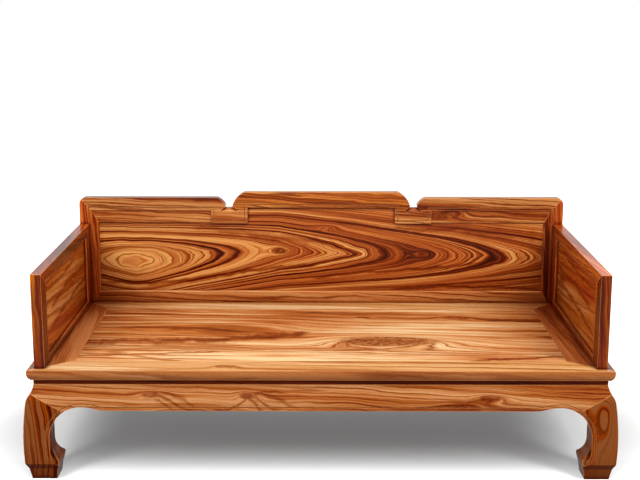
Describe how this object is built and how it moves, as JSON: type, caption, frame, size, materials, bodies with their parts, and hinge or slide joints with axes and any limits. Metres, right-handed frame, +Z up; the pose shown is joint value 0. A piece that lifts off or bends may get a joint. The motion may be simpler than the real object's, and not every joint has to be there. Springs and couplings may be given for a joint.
{
  "type": "luohan daybed",
  "caption": "Wide low daybed in solid rosewood with a stepped back railing, two side railings that slide free, a recessed waist and inward-turned hoof feet.",
  "frame": {"origin": "on the floor, under the middle of the daybed's bounding box", "axes": "+Z up, +X to the right along the back as seen from the open front, +Y from the open front to the back"},
  "size_m": [2.112, 1.037, 0.884],
  "materials": {
    "frame_wood": "semi-gloss oiled rosewood",
    "panel_wood": "semi-gloss figured rosewood",
    "seat_wood": "semi-gloss figured rosewood",
    "base_wood": "semi-gloss oiled rosewood",
    "joint_wood": "unpolished rosewood"
  },
  "bodies": {
    "bed": {"seat_front_rail": "frame_wood", "seat_rear_rail": "frame_wood", "seat_left_rail": "frame_wood", "seat_right_rail": "frame_wood", "seat_board_1": "seat_wood", "seat_board_2": "seat_wood", "seat_board_3": "seat_wood", "seat_batten_1": "joint_wood", "seat_batten_2": "joint_wood", "seat_batten_3": "joint_wood", "front_waist": "base_wood", "rear_waist": "base_wood", "left_waist": "base_wood", "right_waist": "base_wood", "front_apron": "base_wood", "rear_apron": "base_wood", "left_apron": "base_wood", "right_apron": "base_wood", "front_left_leg": "base_wood", "front_right_leg": "base_wood", "rear_left_leg": "base_wood", "rear_right_leg": "base_wood", "back_bottom_rail": "frame_wood", "back_crest_rail": "frame_wood", "back_panel": "panel_wood", "back_panel_batten_1": "joint_wood", "back_panel_batten_2": "joint_wood", "back_panel_batten_3": "joint_wood", "back_loose_tenons": "joint_wood", "back_left_stile": "frame_wood", "back_left_shoulder": "frame_wood", "back_left_step_block": "frame_wood", "back_left_strip": "frame_wood", "back_left_top_strip": "frame_wood", "back_right_stile": "frame_wood", "back_right_shoulder": "frame_wood", "back_right_step_block": "frame_wood", "back_right_strip": "frame_wood", "back_right_top_strip": "frame_wood"},
    "left_railing": {"left_railing_front_stile": "frame_wood", "left_railing_rear_stile": "frame_wood", "left_railing_top_rail": "frame_wood", "left_railing_bottom_rail": "frame_wood", "left_railing_panel": "panel_wood", "left_railing_keys": "joint_wood", "left_railing_pins": "joint_wood"},
    "right_railing": {"right_railing_front_stile": "frame_wood", "right_railing_rear_stile": "frame_wood", "right_railing_top_rail": "frame_wood", "right_railing_bottom_rail": "frame_wood", "right_railing_panel": "panel_wood", "right_railing_keys": "joint_wood", "right_railing_pins": "joint_wood"}
  },
  "joints": [
    {"name": "left_railing_slide", "type": "slide", "parent": "bed", "child": "left_railing", "axis": [0, -1, 0], "range_m": [0, 0.024]},
    {"name": "right_railing_slide", "type": "slide", "parent": "bed", "child": "right_railing", "axis": [0, -1, 0], "range_m": [0, 0.024]}
  ]
}
